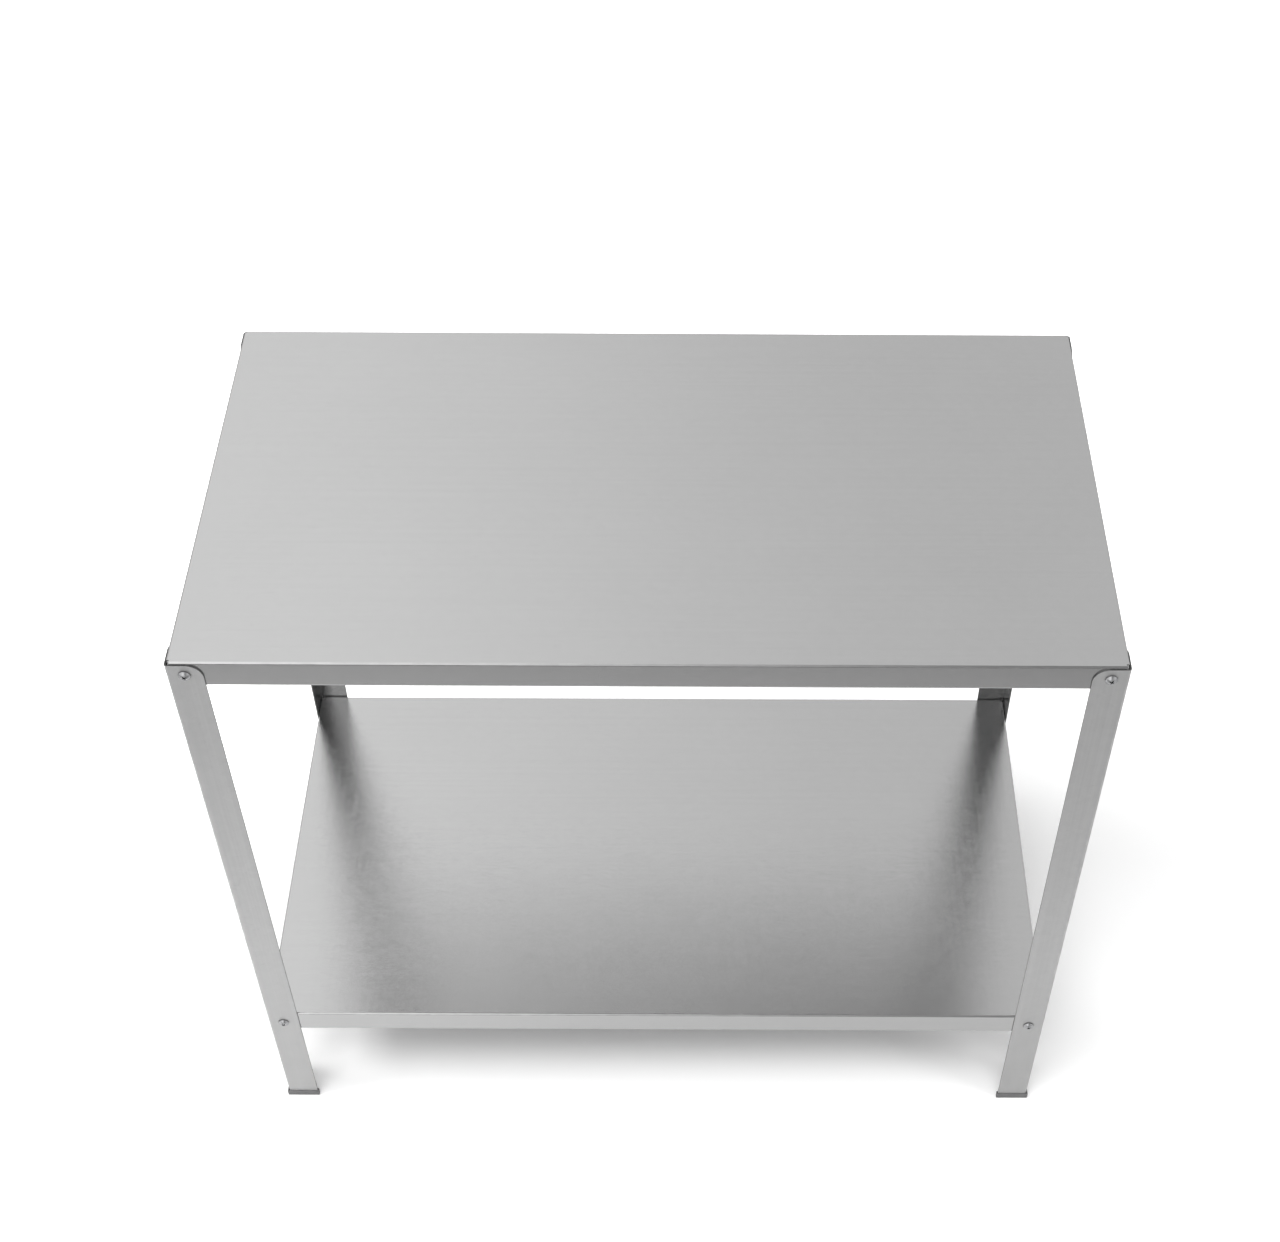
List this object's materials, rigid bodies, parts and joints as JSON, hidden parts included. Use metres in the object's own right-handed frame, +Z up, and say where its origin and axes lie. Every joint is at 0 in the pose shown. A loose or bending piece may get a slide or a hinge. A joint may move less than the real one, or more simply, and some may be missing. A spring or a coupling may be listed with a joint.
{
  "type": "galvanized steel table",
  "caption": "Outdoor table of folded galvanized sheet: a flat worktop over a lower shelf, both skirted trays screwed inside angle legs that stand on plastic shoes.",
  "frame": {"origin": "on the floor, under the middle of the table", "axes": "+X along the table's width to the right as seen from the front, +Y to the back, +Z up"},
  "size_m": [0.903, 0.4982, 0.785],
  "materials": {
    "galvanized_sheet": "satin galvanized sheet",
    "zinc_fastener": "bright zinc plate",
    "foot_plastic": "matt grey moulded plastic"
  },
  "bodies": {
    "root": {"foot_back_left": "foot_plastic", "foot_back_right": "foot_plastic", "foot_front_left": "foot_plastic", "foot_front_right": "foot_plastic", "leg_back_left": "galvanized_sheet", "leg_back_right": "galvanized_sheet", "leg_front_left": "galvanized_sheet", "leg_front_right": "galvanized_sheet", "lower_shelf_nuts_back": "zinc_fastener", "lower_shelf_nuts_front": "zinc_fastener", "lower_shelf_screws_back": "zinc_fastener", "lower_shelf_screws_front": "zinc_fastener", "lower_shelf_stiffener": "galvanized_sheet", "lower_shelf_tray": "galvanized_sheet", "worktop_nuts_back": "zinc_fastener", "worktop_nuts_front": "zinc_fastener", "worktop_screws_back": "zinc_fastener", "worktop_screws_front": "zinc_fastener", "worktop_stiffener": "galvanized_sheet", "worktop_tray": "galvanized_sheet"}
  },
  "joints": []
}
